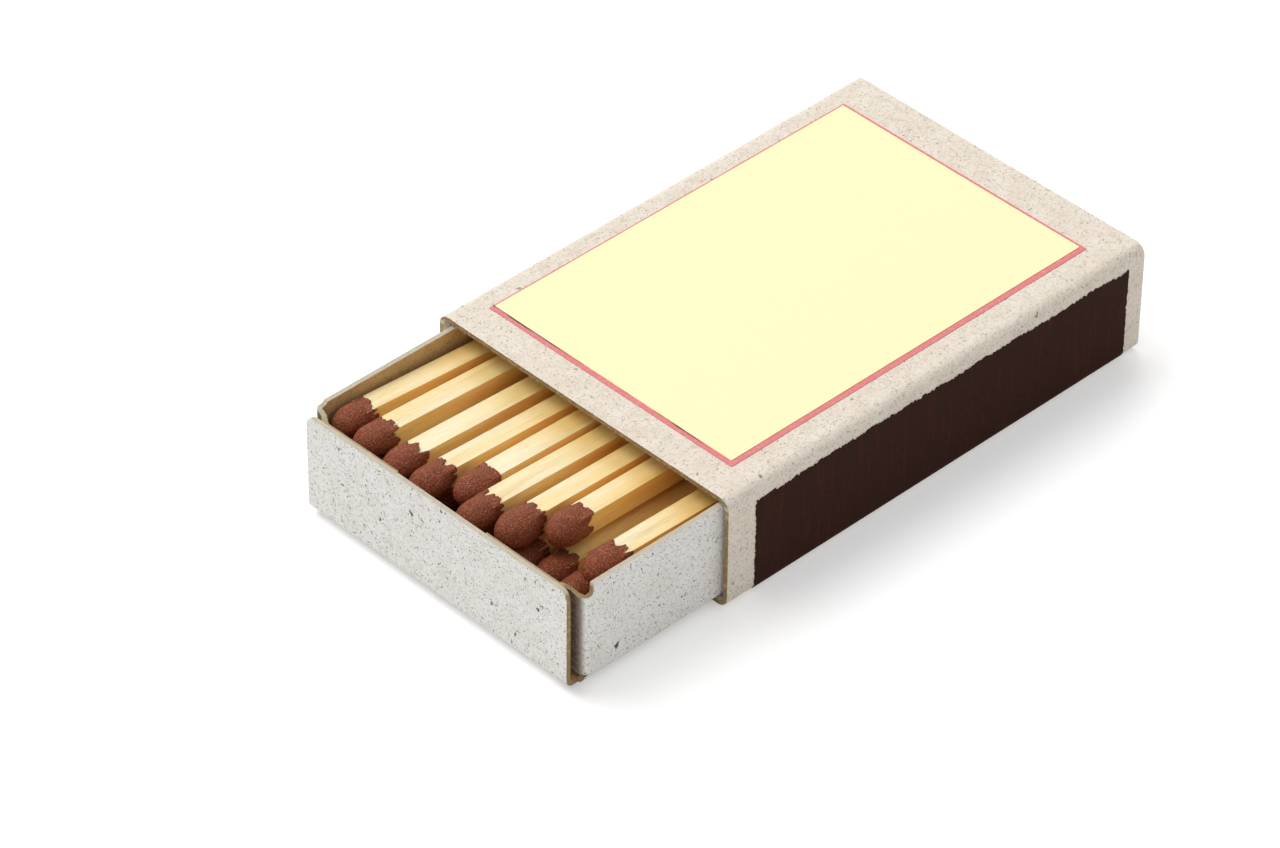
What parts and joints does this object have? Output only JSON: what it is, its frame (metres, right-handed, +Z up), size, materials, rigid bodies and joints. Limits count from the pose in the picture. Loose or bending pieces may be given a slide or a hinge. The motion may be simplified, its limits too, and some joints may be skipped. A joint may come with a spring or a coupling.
{
  "type": "matchbox",
  "caption": "Pocket matchbox: a card sleeve with plain label and side strikers, and a sliding card tray full of wooden safety matches.",
  "frame": {"origin": "centre of the sleeve's underside, on the surface that the box rests on", "axes": "+X the way the tray slides out at the front, +Y towards the near striking side, +Z up"},
  "size_m": [0.0674, 0.0352, 0.0115],
  "materials": {
    "sleeve_card": "matt recycled card, warm grey with dark flecks",
    "tray_card": "matt recycled card, cool grey with dark flecks",
    "label_red": "matt printed paper",
    "label_yellow": "matt printed paper",
    "striker": "rough dark brown striking coat",
    "match": "plain sawn aspen stick with a granular red-brown head"
  },
  "bodies": {
    "sleeve_body": {"sleeve": "sleeve_card", "label_sheet": "label_red", "label_panel": "label_yellow", "striker_near": "striker", "striker_far": "striker"},
    "tray_body": {"tray": "tray_card", "match_01": "match", "match_02": "match", "match_03": "match", "match_04": "match", "match_05": "match", "match_06": "match", "match_07": "match", "match_08": "match", "match_09": "match", "match_10": "match", "match_11": "match", "match_12": "match", "match_13": "match", "match_14": "match", "match_15": "match", "match_16": "match", "match_17": "match", "match_18": "match", "match_19": "match", "match_20": "match", "match_21": "match", "match_22": "match", "match_23": "match", "match_24": "match", "match_25": "match", "match_26": "match", "match_27": "match", "match_28": "match", "match_29": "match", "match_30": "match"}
  },
  "joints": [
    {"name": "tray_slide", "type": "slide", "parent": "sleeve_body", "child": "tray_body", "axis": [1, 0, 0], "range_m": [-0.045, 0.02]}
  ]
}
